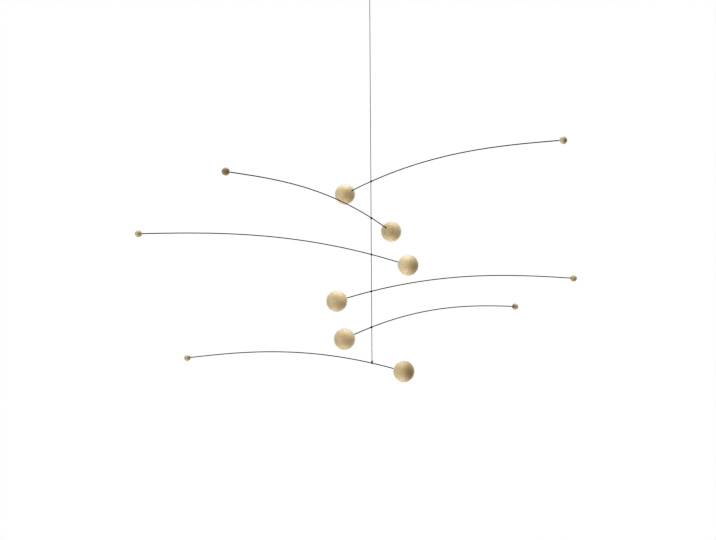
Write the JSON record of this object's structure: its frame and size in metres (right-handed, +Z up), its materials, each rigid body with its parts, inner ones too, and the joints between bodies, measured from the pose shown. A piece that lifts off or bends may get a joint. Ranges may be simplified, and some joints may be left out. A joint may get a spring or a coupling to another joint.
{
  "type": "hanging mobile sculpture",
  "caption": "Hanging mobile of bowed steel wire arms, each with a large and a small wooden ball, tied one below another to a thread and free to turn.",
  "frame": {"origin": "the bearing point inside the top of the thread's hanging loop", "axes": "+Z up along the thread, -Y towards the viewer, +X to the viewer's right; the thread lies on the Z axis"},
  "size_m": [0.6398, 0.5162, 0.5749],
  "materials": {
    "wood": "smooth turned light hardwood, bare or thinly oiled",
    "wire": "dark drawn spring wire, satin",
    "thread": "thin black twisted thread"
  },
  "bodies": {
    "thread": {"hanging_thread": "thread"},
    "arm_1": {"arm_1_wire": "wire", "arm_1_large_ball": "wood", "arm_1_small_ball": "wood", "arm_1_hitch": "thread"},
    "arm_2": {"arm_2_wire": "wire", "arm_2_large_ball": "wood", "arm_2_small_ball": "wood", "arm_2_hitch": "thread"},
    "arm_3": {"arm_3_wire": "wire", "arm_3_large_ball": "wood", "arm_3_small_ball": "wood", "arm_3_hitch": "thread"},
    "arm_4": {"arm_4_wire": "wire", "arm_4_large_ball": "wood", "arm_4_small_ball": "wood", "arm_4_hitch": "thread"},
    "arm_5": {"arm_5_wire": "wire", "arm_5_large_ball": "wood", "arm_5_small_ball": "wood", "arm_5_hitch": "thread"},
    "arm_6": {"arm_6_wire": "wire", "arm_6_large_ball": "wood", "arm_6_small_ball": "wood", "arm_6_knot": "thread"}
  },
  "joints": [
    {"name": "arm_1_swivel", "type": "hinge", "parent": "thread", "child": "arm_1", "pos_m": [0, 0, -0.29], "axis": [0, 0, 1], "continuous": true},
    {"name": "arm_2_swivel", "type": "hinge", "parent": "thread", "child": "arm_2", "pos_m": [0, 0, -0.3427], "axis": [0, 0, 1], "continuous": true},
    {"name": "arm_3_swivel", "type": "hinge", "parent": "thread", "child": "arm_3", "pos_m": [0, 0, -0.3944], "axis": [0, 0, 1], "continuous": true},
    {"name": "arm_4_swivel", "type": "hinge", "parent": "thread", "child": "arm_4", "pos_m": [0, 0, -0.4464], "axis": [0, 0, 1], "continuous": true},
    {"name": "arm_5_swivel", "type": "hinge", "parent": "thread", "child": "arm_5", "pos_m": [0, 0, -0.4971], "axis": [0, 0, 1], "continuous": true},
    {"name": "arm_6_swivel", "type": "hinge", "parent": "thread", "child": "arm_6", "pos_m": [0, 0, -0.5475], "axis": [0, 0, 1], "continuous": true}
  ]
}
